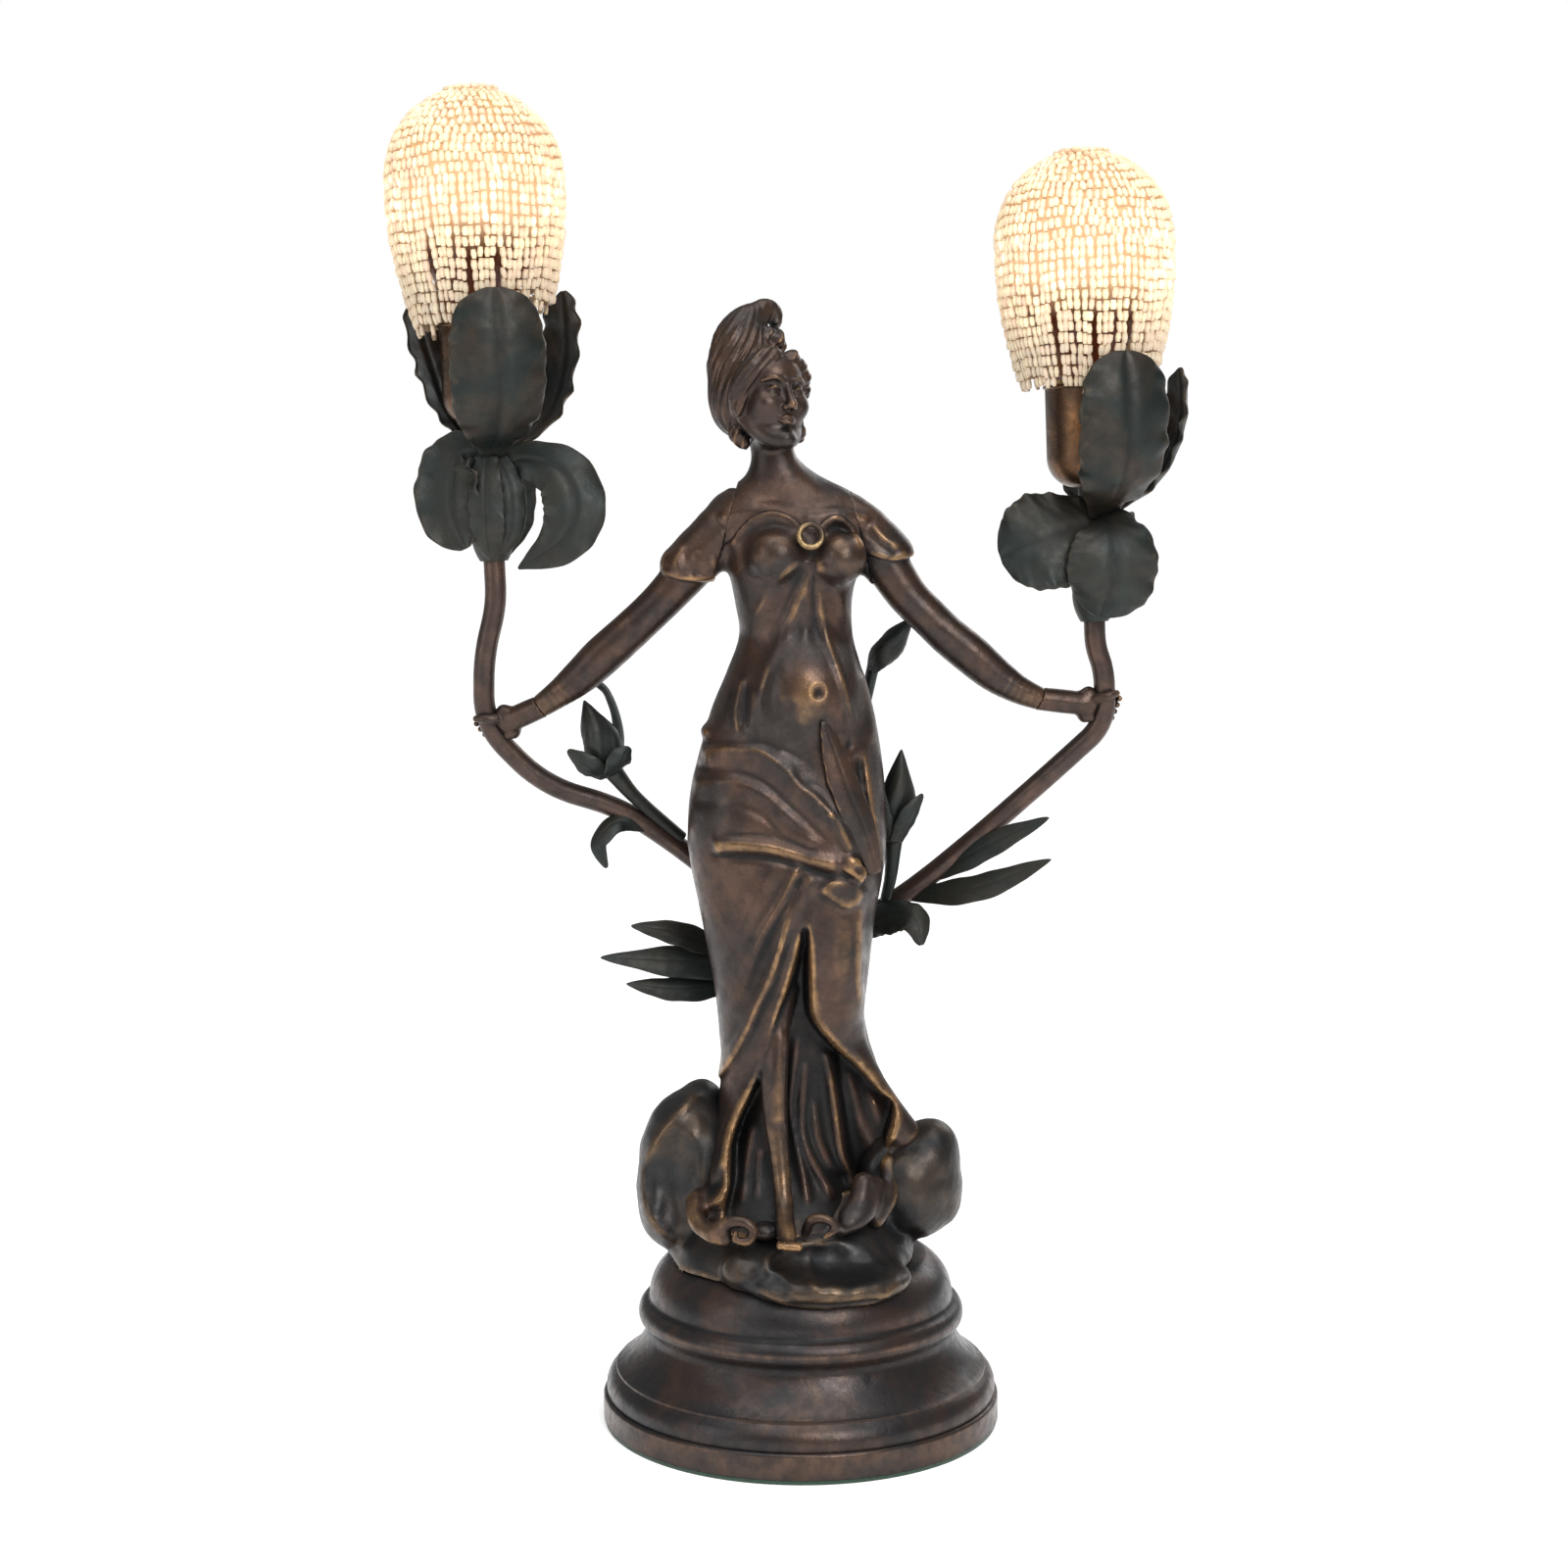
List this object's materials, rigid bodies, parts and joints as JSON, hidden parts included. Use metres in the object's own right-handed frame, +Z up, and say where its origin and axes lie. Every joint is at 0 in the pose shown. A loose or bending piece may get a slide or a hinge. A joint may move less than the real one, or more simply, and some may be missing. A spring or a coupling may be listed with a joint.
{
  "type": "figural table lamp",
  "caption": "Figural table lamp: a cast woman on a moulded round base holds two flower lights whose bulbs wear beaded covers.",
  "frame": {"origin": "centre of the round base's underside, on the felt", "axes": "+Z up along the base's axis, -Y the front that the figure faces, +X to the viewer's right"},
  "size_m": [0.2976, 0.152, 0.504],
  "materials": {
    "figure_bronze": "brown copper patina on cast spelter, rubbed golden on the edges",
    "foliage_bronze": "green-black patina",
    "stem_bronze": "brown patina, satin",
    "cup_brass": "aged brown brass",
    "thread_brass": "plain brass",
    "steel": "zinc plated",
    "felt": "wool felt",
    "black_plastic": "moulded",
    "porcelain": "white glaze",
    "wire_cover": "dull",
    "cap_metal": "rolled thread",
    "bulb_glass": "lit bulb glass",
    "filament_metal": "glass mount with lead wires",
    "beads": "strung pressed glass, lit from inside",
    "solder": "tinned contact"
  },
  "bodies": {
    "root": {"pedestal_shell": "figure_bronze", "base_plate": "steel", "base_felt": "felt", "cord_bush": "black_plastic", "center_rod": "steel", "rod_nuts": "steel", "rod_washers": "steel", "junction_block": "black_plastic", "rock_base": "figure_bronze", "gown": "figure_bronze", "bust": "figure_bronze", "left_arm": "figure_bronze", "right_arm": "figure_bronze", "left_hand": "figure_bronze", "right_hand": "figure_bronze", "brooch_ring": "figure_bronze", "main_stalk": "stem_bronze", "stalk_junction": "stem_bronze", "left_stem": "stem_bronze", "right_stem": "stem_bronze", "left_trefoil_leaf": "foliage_bronze", "left_curl_leaf": "foliage_bronze", "right_blade_leaves": "foliage_bronze", "right_curl_leaf": "foliage_bronze", "left_bud": "foliage_bronze", "right_bud": "foliage_bronze", "arm_bud": "foliage_bronze", "hip_leaf": "figure_bronze", "left_petal_front": "foliage_bronze", "left_petal_left": "foliage_bronze", "left_petal_right": "foliage_bronze", "right_petal_front": "foliage_bronze", "right_petal_right": "foliage_bronze", "right_petal_back": "foliage_bronze", "left_calyx_hub": "foliage_bronze", "left_lower_leaves": "foliage_bronze", "left_socket_cup": "cup_brass", "left_socket_body": "porcelain", "left_screw_shell": "thread_brass", "left_contact_tongue": "thread_brass", "left_wire": "wire_cover", "right_calyx_hub": "foliage_bronze", "right_lower_leaves": "foliage_bronze", "right_socket_cup": "cup_brass", "right_socket_body": "porcelain", "right_screw_shell": "thread_brass", "right_contact_tongue": "thread_brass", "right_wire": "wire_cover"},
    "left_contact": {"left_bulb_contact": "solder"},
    "left_bulb": {"left_bulb_cap": "cap_metal", "left_bulb_glass": "bulb_glass", "left_filament": "filament_metal"},
    "left_cover": {"left_bead_cap": "beads", "left_bead_fringe": "beads"},
    "right_contact": {"right_bulb_contact": "solder"},
    "right_bulb": {"right_bulb_cap": "cap_metal", "right_bulb_glass": "bulb_glass", "right_filament": "filament_metal"},
    "right_cover": {"right_bead_cap": "beads", "right_bead_fringe": "beads"}
  },
  "joints": [
    {"name": "left_bulb_advance", "type": "slide", "parent": "root", "child": "left_contact", "axis": [-0.0401, 0, 0.9992], "range_m": [0, 0.0182]},
    {"name": "left_bulb_turn", "type": "hinge", "parent": "left_contact", "child": "left_bulb", "pos_m": [-0.11881, 0, 0.42892], "axis": [-0.0401, 0, 0.9992], "range_deg": [0, 1800]},
    {"name": "left_cover_lift", "type": "slide", "parent": "left_bulb", "child": "left_cover", "axis": [-0.0401, 0, 0.9992], "range_m": [0, 0.125], "deforming": ["left_bead_fringe"]},
    {"name": "right_bulb_advance", "type": "slide", "parent": "root", "child": "right_contact", "axis": [-0.0401, 0, 0.9992], "range_m": [0, 0.0182]},
    {"name": "right_bulb_turn", "type": "hinge", "parent": "right_contact", "child": "right_bulb", "pos_m": [0.10579, 0, 0.40642], "axis": [-0.0401, 0, 0.9992], "range_deg": [0, 1800]},
    {"name": "right_cover_lift", "type": "slide", "parent": "right_bulb", "child": "right_cover", "axis": [-0.0401, 0, 0.9992], "range_m": [0, 0.125], "deforming": ["right_bead_fringe"]}
  ],
  "couplings": [
    {"joint": "left_bulb_advance", "follows": "left_bulb_turn", "m_per_rad": 0.00057757},
    {"joint": "right_bulb_advance", "follows": "right_bulb_turn", "m_per_rad": 0.00057757}
  ]
}
